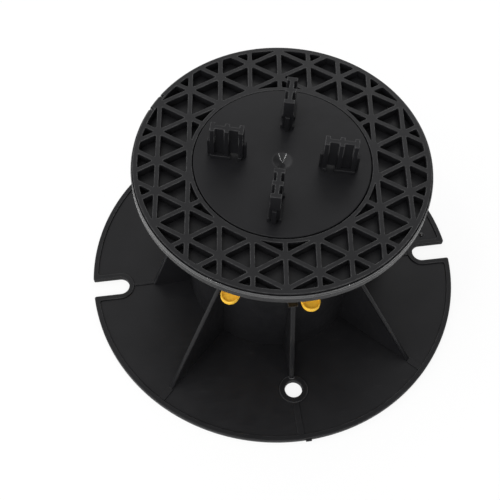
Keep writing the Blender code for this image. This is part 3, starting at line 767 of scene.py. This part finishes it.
def area(outline):
    """Area of a plan outline, positive if it runs counter-clockwise."""
    return sum(a[0] * b[1] - b[0] * a[1]
               for a, b in zip(outline, outline[1:] + outline[:1])) / 2


pockets = []
for cell in cells:
    for outer_part in trim(cell, POCKET_OUTER, True):
        for part in trim(outer_part, POCKET_INNER, False):
            if area(part) > SMALLEST_POCKET:
                pockets.append(round_corners(part, POCKET_CORNER, sharpest=35.0))
print("pockets:", len(pockets))

# %% [markdown]
# The plate's rim goes in and out of the dish's two notches. The plate's lip, which lies on the
# ledge, is wider than its body, and both are one mesh: a loop is cut in just under the lip, and the
# points of the rim below that loop are pulled in.

# %% Build the head plate
GRID_LOW = 102.0
HEAD_TOP = 106.6
LIP_LOW = 105.1
LIP_OUTSIDE = 69.5
BODY_OUTSIDE = 68.4
OPENING = 42.0
PLATE_EDGE = 0.28

notch_angle = math.degrees(math.asin((TONGUE_HALF + NOTCH_WIDTH) / LIP_OUTSIDE))
tongue_angle = math.degrees(math.asin(TONGUE_HALF / LIP_OUTSIDE))
rim = arc((0.0, 0.0), LIP_OUTSIDE, notch_angle, 360 - notch_angle, 240)
rim += [(NOTCH_REACH, -TONGUE_HALF - NOTCH_WIDTH), (NOTCH_REACH, -TONGUE_HALF)]
rim += arc((0.0, 0.0), LIP_OUTSIDE, -tongue_angle, tongue_angle, 8)
rim += [(NOTCH_REACH, TONGUE_HALF), (NOTCH_REACH, TONGUE_HALF + NOTCH_WIDTH)]
rim = turned(rim, NOTCH_DIRECTION)

bm = bmesh.new()
add_plate(bm, [rim, circle(OPENING, 192)] + pockets, GRID_LOW, HEAD_TOP, PLATE_EDGE)
for height in (LIP_LOW, LIP_LOW - 0.1):
    bmesh.ops.bisect_plane(bm, geom=bm.verts[:] + bm.edges[:] + bm.faces[:],
                           plane_co=(0, 0, height * MM), plane_no=(0, 0, 1))
for vertex in bm.verts:
    reach = math.hypot(vertex.co.x, vertex.co.y) / MM
    if vertex.co.z < (LIP_LOW - 0.05) * MM and reach > BODY_OUTSIDE:
        vertex.co.x *= BODY_OUTSIDE / reach
        vertex.co.y *= BODY_OUTSIDE / reach
grid_piece = moulding("grid_moulding", bm, HEAD_TURN)

# %% [markdown]
# ## The disc and its spacer tabs
#
# The disc turns in the middle of the head. It is a spun profile whose last points run down into a
# plain cone, the dimple at its centre. Four clips hang below it and hook under the dish. They are
# plates on edge again.

# %% Disc, dimple and clips
DISC_TOP = 107.0
DISC_RADIUS = 41.5
DISC_TURN = -15.4
SKIRT_INSIDE = 39.0
HUB_RADIUS = 5.65
DIMPLE_RADIUS = 4.4
DIMPLE_DEPTH = 2.2
HUB_LOW = DISC_TOP - 3.4
SKIN_LOW = DISC_TOP - 2.4
CLIP_TOP = DISC_TOP - 1.9
CLIP_HALF = 4.0

bm = bmesh.new()
below = (0.0, HUB_LOW)
tip = (0.0, DISC_TOP - DIMPLE_DEPTH)
disc = [below, (HUB_RADIUS, HUB_LOW), (HUB_RADIUS, SKIN_LOW), (SKIRT_INSIDE, SKIN_LOW),
        (SKIRT_INSIDE, GRID_LOW), (DISC_RADIUS, GRID_LOW), (DISC_RADIUS, DISC_TOP),
        (DIMPLE_RADIUS, DISC_TOP), tip]
on_axis = 4  # both ends lie on the axis, so the four points of each end's arc are left out
disc = [below] + round_corners(disc, radius=0.35, sharpest=20.0)[on_axis:-on_axis] + [tip]
add_spun(bm, disc, COLUMN_SEGMENTS)
clip = [(27.3, CLIP_TOP), (27.3, 97.0), (29.5, 97.0), (31.7, 98.7), (31.7, 99.6),
        (29.5, 99.6), (29.5, CLIP_TOP)]
for degrees in QUARTERS:
    add_plate(bm, [clip], -CLIP_HALF, CLIP_HALF, edge=0.2, place=upright(degrees + 45))
disc_part = moulding("disc_part", bm)

# %% [markdown]
# The four upright tabs set the joint between the paving slabs. A tab is a thin web with three cross
# ribs. Its outline, seen from above, is drawn along one side and mirrored for the other. A small
# lug stands at each end and a thicker foot below.

# %% Webs, lugs and feet of the spacer tabs
TAB_LOW = DISC_TOP - 0.5
TAB_HIGH = DISC_TOP + 19.6
TAB_RIBS = ((18.3, 20.5), (24.9, 27.1), (31.5, 33.7))
TAB_HALF_DEPTH = 2.5
TAB_HALF_WEB = 1.0
LUGS = (box(16.9, 18.8, -1.1, 1.1), box(33.2, 35.1, -1.1, 1.1))
LUG_HIGH = DISC_TOP + 10.0
FOOT = box(18.8, 33.7, -3.3, 3.3)
FOOT_HIGH = DISC_TOP + 2.0

near_side = []
for start, end in TAB_RIBS:
    near_side += [(start, -TAB_HALF_WEB), (start, -TAB_HALF_DEPTH), (end, -TAB_HALF_DEPTH),
                  (end, -TAB_HALF_WEB)]
near_side = near_side[1:-1]
web = near_side + [(x, -y) for x, y in reversed(near_side)]
web = round_corners(web, radius=0.25, steps=2)

bm = bmesh.new()
for degrees in QUARTERS:
    add_plate(bm, [turned(web, degrees)], TAB_LOW, TAB_HIGH, edge=0.22)
    for lug in LUGS:
        lug = turned(round_corners(lug, radius=0.3), degrees)
        add_plate(bm, [lug], TAB_LOW, LUG_HIGH)
tabs_part = moulding("tabs_part", bm)

bm = bmesh.new()
for degrees in QUARTERS:
    foot = turned(round_corners(FOOT, radius=0.3), degrees)
    add_plate(bm, [foot], TAB_LOW, FOOT_HIGH, edge=0.25)
feet_part = moulding("feet_part", bm)

# %% [markdown]
# A low window at the foot of each tab makes a weak place, so that the tab can be snapped off. It
# goes through web and foot, which are cut one after the other, because a Boolean is only sure of
# itself on a body that doesn't overlap itself.

# %% Cut the windows and join the disc
WINDOW = box(20.5, 24.4, -6.0, 6.0)
WINDOW_LOW = DISC_TOP - 0.3
WINDOW_HIGH = DISC_TOP + 2.4

windows = [(WINDOW, WINDOW_LOW, WINDOW_HIGH, degrees) for degrees in QUARTERS]
cut(tabs_part, windows)
cut(feet_part, windows)
disc_piece = join("disc_moulding", [disc_part, tabs_part, feet_part], DISC_TURN)

# %% [markdown]
# ## Which solid each piece stands for
#
# The imported solids stay in the file for the physics. Each finer piece rides on the body of the
# solid it replaces, so the nut still turns and the head still climbs.

# %% Ride and replace
for piece, body, node, finish_slot in (
        (base_piece, "base", "base", "base_plastic"),
        (nut_piece, "nut", "ring_nut", "yellow_plastic"),
        (stem_piece, "head", "stem", "stem_plastic"),
        (grid_piece, "head", "isogrid_plate", "grid_plastic"),
        (disc_piece, "disc", "tab_disc", "disc_plastic")):
    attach(piece, body)
    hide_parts(node)
    print(piece.name, "rides on", body, "for", node)

# %% [markdown]
# ## Moulded plastic
#
# Black plastic is never one black. The mould leaves a fine grain, the flow of the melt leaves broad
# patches that are a little shinier, and handling leaves faint pale rubs. Pictures of plastic could
# be wrapped round the pieces, but patterns worked out from the place on the piece need no
# unwrapping and stay fine at any distance. The first helper adds a shader node and fills its
# sockets in one line.


# %% Helpers that add shader nodes
def wired(tree, kind, inputs, **settings):
    """A new shader node: an output is linked to its socket, a plain value is written on it."""
    node = tree.nodes.new("ShaderNode" + kind)
    for setting, value in settings.items():
        setattr(node, setting, value)
    for socket, value in inputs.items():
        if isinstance(value, bpy.types.NodeSocket):
            tree.links.new(value, node.inputs[socket])
        else:
            node.inputs[socket].default_value = value
    return node


def ranged(tree, source, low, high, first, last):
    """A value that goes from first to last while the source goes from low to high."""
    return wired(tree, "MapRange", {"Value": source, "From Min": low, "From Max": high,
                                    "To Min": first, "To Max": last}).outputs["Result"]


def beyond(tree, source, limit, soft, share=1.0):
    """Zero below a limit in millimetres and a share above it, with a soft step between."""
    return ranged(tree, source, (limit - soft) * MM, (limit + soft) * MM, 0.0, share)


def both(tree, first, second):
    """The product of two values."""
    return wired(tree, "Math", {0: first, 1: second}, operation="MULTIPLY").outputs["Value"]


def mixed(tree, factor, first, last):
    """A colour between two colours."""
    return wired(tree, "Mix", {"Factor": factor, "A": first, "B": last},
                 data_type="RGBA").outputs["Result"]


def noise(tree, place, scale, detail, squeeze=(1.0, 1.0, 1.0)):
    """Cloudy noise, finer for a larger scale and drawn out along the axes that aren't squeezed."""
    spread = wired(tree, "Mapping", {"Vector": place, "Scale": squeeze}).outputs["Vector"]
    return wired(tree, "TexNoise", {"Vector": spread, "Scale": scale,
                                    "Detail": detail}).outputs["Fac"]


print("helpers for nodes:", ", ".join(
    helper.__name__ for helper in (wired, ranged, beyond, both, mixed, noise)))

# %% [markdown]
# Outer edges are painted paler than the faces beside them: a painted highlight that stands in for the
# light their rounding catches, made stronger where the rub noise is strong. The Bevel node gives the
# direction that a surface would have if its edges were rounded. Where that departs from the true
# direction, an edge is near. It finds inner corners as well, so the painted highlight is kept to
# places beyond a radius and above a height, where a moulding has outer edges only.

# %% Painted edge highlights
EDGE_REACH = 0.5
EDGE_SAMPLES = 4


def painted_edge_highlight(tree, place, rubs, beyond_radius, above_height):
    """How strong the painted edge highlight is: most where the rub noise is strong, and nothing on
    the faces between.
    """
    rounded = wired(tree, "Bevel", {"Radius": EDGE_REACH * MM}, samples=EDGE_SAMPLES)
    flat = wired(tree, "NewGeometry", {})
    agree = wired(tree, "VectorMath", {0: rounded.outputs["Normal"], 1: flat.outputs["Normal"]},
                  operation="DOT_PRODUCT").outputs["Value"]
    # Painted highlight: near an outer edge the colour will be mixed towards the pale colour.
    edge = both(tree, ranged(tree, agree, 0.995, 0.9, 0.0, 0.9),
                ranged(tree, rubs, 0.38, 0.56, 0.25, 1.0))
    parts = wired(tree, "SeparateXYZ", {"Vector": place}).outputs
    across = wired(tree, "CombineXYZ", {"X": parts["X"], "Y": parts["Y"]}).outputs["Vector"]
    radius = wired(tree, "VectorMath", {0: across}, operation="LENGTH").outputs["Value"]
    outer = both(tree, beyond(tree, radius, beyond_radius, 0.05),
                 beyond(tree, parts["Z"], above_height, 0.05))
    return both(tree, edge, outer)


print("an edge is pale for", EDGE_REACH, "mm on both sides")

# %% [markdown]
# The dimple, the pip and the dish's rim shine more than the rest, because the mould is polished
# there. A lower roughness would do for that, but it would wipe out the grain. A second, smoother
# gloss on top of the grain looks right, and the shader's coat is made for it. Only the coat's
# weight changes from place to place.


# %% Polished places
def polished_spot(centre, reach, share):
    """A maker of coat weight for a small ball-shaped place, in millimetres."""
    def weight(tree, place):
        distance = wired(tree, "VectorMath", {0: place, 1: Vector(centre) * MM},
                         operation="DISTANCE").outputs["Value"]
        return ranged(tree, distance, (reach - 0.1) * MM, (reach + 0.1) * MM, share, 0.0)
    return weight


def polished_above(height, share):
    """A maker of coat weight for all that is above a height in millimetres."""
    def weight(tree, place):
        rise = wired(tree, "SeparateXYZ", {"Vector": place}).outputs["Z"]
        return beyond(tree, rise, height, 0.05, share)
    return weight


POLISHED_DIMPLE = polished_spot((0.0, 0.0, DISC_TOP), 5.0, 0.2)
POLISHED_PIP = polished_spot((*pip_place, 3.0), 1.8, 0.8)
POLISHED_RIM = polished_above(103.9, 0.9)
print("polished places: dimple, pip and rim")

# %% [markdown]
# Now the material itself. Broad patches of about 20 mm shift the colour, rubs of a few millimetres
# shift the roughness and lift the colour where they are strongest, and grain of half a millimetre
# goes to the bump. The gloss level is the same all over, so it is a plain number on its socket.

# %% The plastic material
PATCH_SCALE = 45.0
RUB_SCALE = 150.0
RUB_SQUEEZE = (1.0, 3.2, 1.0)
GRAIN_SCALE = 1700.0
GRAIN_HEIGHT = 0.08
RUB_SHARE = 0.05
ROUGHNESS_SPREAD = 0.06
COAT_ROUGHNESS = 0.1


def plastic(name, colours, roughness, shine, grain, highlight_edges_from, polish):
    """Moulded plastic: uneven colour and gloss, grain, pale rubs, painted edge highlights, one
    polished place.
    """
    material = bpy.data.materials.new(name)
    material.use_nodes = True
    tree = material.node_tree
    sockets = tree.nodes["Principled BSDF"].inputs
    place = wired(tree, "TexCoord", {}).outputs["Object"]
    rubs = noise(tree, place, RUB_SCALE, 6.0, RUB_SQUEEZE)

    first, last = ((*colour, 1.0) for colour in colours)
    # One pale colour serves both the real rubs and the painted edge highlight.
    pale = (*(min(1.0, part * 1.2 + 0.1) for part in colours[1]), 1.0)
    patches = ranged(tree, noise(tree, place, PATCH_SCALE, 5.0), 0.35, 0.7, 0.0, 1.0)
    colour = mixed(tree, patches, first, last)
    colour = mixed(tree, ranged(tree, rubs, 0.66, 0.8, 0.0, RUB_SHARE), colour, pale)
    # Painted highlight: outer edges are mixed towards the pale colour.
    if highlight_edges_from:
        colour = mixed(tree, painted_edge_highlight(tree, place, rubs, *highlight_edges_from), colour, pale)
    tree.links.new(colour, sockets["Base Color"])

    uneven = ranged(tree, rubs, 0.3, 0.7, roughness - ROUGHNESS_SPREAD,
                    roughness + ROUGHNESS_SPREAD)
    tree.links.new(uneven, sockets["Roughness"])
    sockets["Specular IOR Level"].default_value = shine
    sockets["Coat Roughness"].default_value = COAT_ROUGHNESS
    if polish:
        tree.links.new(polish(tree, place), sockets["Coat Weight"])

    bump = wired(tree, "Bump", {"Strength": grain, "Distance": GRAIN_HEIGHT * MM,
                                "Height": noise(tree, place, GRAIN_SCALE, 2.0)})
    tree.links.new(bump.outputs["Normal"], sockets["Normal"])
    return material


print("grain of", round(1000 / GRAIN_SCALE, 2), "mm and", GRAIN_HEIGHT, "mm high")

# %% [markdown]
# Each moulding gets its own mix. The four black ones come from different moulds, so their roughness
# and gloss differ a little. The yellow nut is glossier, and too pale for a painted edge highlight to
# show.

# %% Give each piece its plastic
BLACK = ((0.0062, 0.0062, 0.0070), (0.0086, 0.0086, 0.0096))
YELLOW = ((0.76, 0.43, 0.032), (0.83, 0.49, 0.050))

# piece, name, colours, roughness, shine, grain, painted edge highlights from (radius, height),
# polished place
PLASTICS = (
    (base_piece, "black_of_base", BLACK, 0.38, 0.17, 0.3, (48.0, 2.9), POLISHED_PIP),
    (stem_piece, "black_of_stem", BLACK, 0.36, 0.19, 0.25, (60.0, 105.0), POLISHED_RIM),
    (grid_piece, "black_of_grid", BLACK, 0.40, 0.19, 0.3, (0.0, 106.0), None),
    (disc_piece, "black_of_disc", BLACK, 0.40, 0.15, 0.3, (0.0, 118.0), POLISHED_DIMPLE),
    (nut_piece, "yellow_of_nut", YELLOW, 0.36, 0.35, 0.2, None, None))
for piece, *finish in PLASTICS:
    material = plastic(*finish)
    piece.data.materials.append(material)
    print(piece.name, "is made of", material.name)

# %% [markdown]
# ## A white floor that keeps its shadow
#
# A product photograph has a white ground. The floor here is pale, and for the camera it also glows
# a little, so it turns white where the light is full while the shadow under the pedestal stays. A
# brighter lamp would whiten the floor too, but it would also light the pedestal too much.

# %% Floor
FLOOR_SIZE = 6.0
FLOOR_COLOUR = (0.8, 0.8, 0.8, 1.0)
FLOOR_ROUGHNESS = 0.9
GLOW_SHARE = 0.85

bpy.ops.mesh.primitive_plane_add(size=FLOOR_SIZE)
floor = bpy.context.object
floor.name = "floor"
paper = bpy.data.materials.new("paper")
paper.use_nodes = True
tree = paper.node_tree
plain = tree.nodes["Principled BSDF"]
plain.inputs["Base Color"].default_value = FLOOR_COLOUR
plain.inputs["Roughness"].default_value = FLOOR_ROUGHNESS
rays = wired(tree, "LightPath", {})
glow = wired(tree, "Emission", {"Strength": 1.0})
blend = wired(tree, "MixShader", {"Fac": both(tree, rays.outputs["Is Camera Ray"], GLOW_SHARE),
                                  1: plain.outputs["BSDF"], 2: glow.outputs["Emission"]})
tree.links.new(blend.outputs["Shader"], tree.nodes["Material Output"].inputs["Surface"])
floor.data.materials.append(paper)
print("floor:", FLOOR_SIZE, "m wide, made of", paper.name)

# %% [markdown]
# ## Soft light
#
# The photograph has soft light from all sides, more from the left than from the right. The world
# gives it: its strength falls from left to right across the sky, and only the camera sees it as
# plain white. A picture of a studio could light the scene too, but a gradient needs no file.

# %% Sky
SKY_WHITE = (1.0, 1.0, 1.0, 1.0)
LEFT_STRENGTH = 1.6
RIGHT_STRENGTH = 0.4

world = bpy.data.worlds.new("studio")
bpy.context.scene.world = world
world.use_nodes = True
tree = world.node_tree
direction = wired(tree, "TexCoord", {}).outputs["Generated"]
sideways = wired(tree, "SeparateXYZ", {"Vector": direction}).outputs["X"]
strength = ranged(tree, sideways, -0.55, 0.75, LEFT_STRENGTH, RIGHT_STRENGTH)
sky = tree.nodes["Background"]
sky.inputs["Color"].default_value = SKY_WHITE
tree.links.new(strength, sky.inputs["Strength"])
white = wired(tree, "Background", {"Color": SKY_WHITE})
rays = wired(tree, "LightPath", {})
blend = wired(tree, "MixShader", {"Fac": rays.outputs["Is Camera Ray"],
                                  1: sky.outputs["Background"], 2: white.outputs["Background"]})
tree.links.new(blend.outputs["Shader"], tree.nodes["World Output"].inputs["Surface"])
bpy.context.scene.view_settings.view_transform = "Standard"
print("sky strength:", LEFT_STRENGTH, "on the left,", RIGHT_STRENGTH, "on the right")

# %% [markdown]
# Broad lamps add shape: one behind lifts the far rim of the head, one in front lights the base, and
# a low one on the left lights the walls. Two small ones high on both sides make the narrow
# highlights in the dimple. Rectangles give soft edges in the gloss, which round spots wouldn't.

# %% Lamps
LAMPS = (  # name, place and target in metres, width and height in metres, power in watts
    ("back_lamp", (0.4, 0.95, 0.85), (0.0, 0.0, 0.08), (0.6, 0.6), 2.4),
    ("front_lamp", (-0.15, -1.0, 0.7), (0.0, 0.0, 0.05), (0.8, 0.5), 2.6),
    ("low_left_lamp", (-1.08, -0.28, 0.42), (0.0, 0.0, 0.05), (0.9, 0.4), 2.0),
    ("left_lamp", (-0.41, -0.16, 1.14), (0.0, 0.0, 0.1), (0.07, 0.09), 1.0),
    ("right_lamp", (0.43, -0.28, 1.1), (0.0, 0.0, 0.1), (0.07, 0.09), 1.0))

for name, lamp_place, target, size, power in LAMPS:
    light = bpy.data.lights.new(name, "AREA")
    light.shape = "RECTANGLE"
    light.size, light.size_y = size
    light.energy = power
    lamp = bpy.data.objects.new(name, light)
    bpy.context.scene.collection.objects.link(lamp)
    towards = Vector(target) - Vector(lamp_place)
    aim = towards.to_track_quat("-Z", "Y").to_matrix().to_4x4()
    lamp.matrix_world = Matrix.Translation(lamp_place) @ aim
    print(name, "shines from", round(towards.length, 2), "m away")

# %% [markdown]
# ## Finish

# %% Finish
print("the scene is dressed")
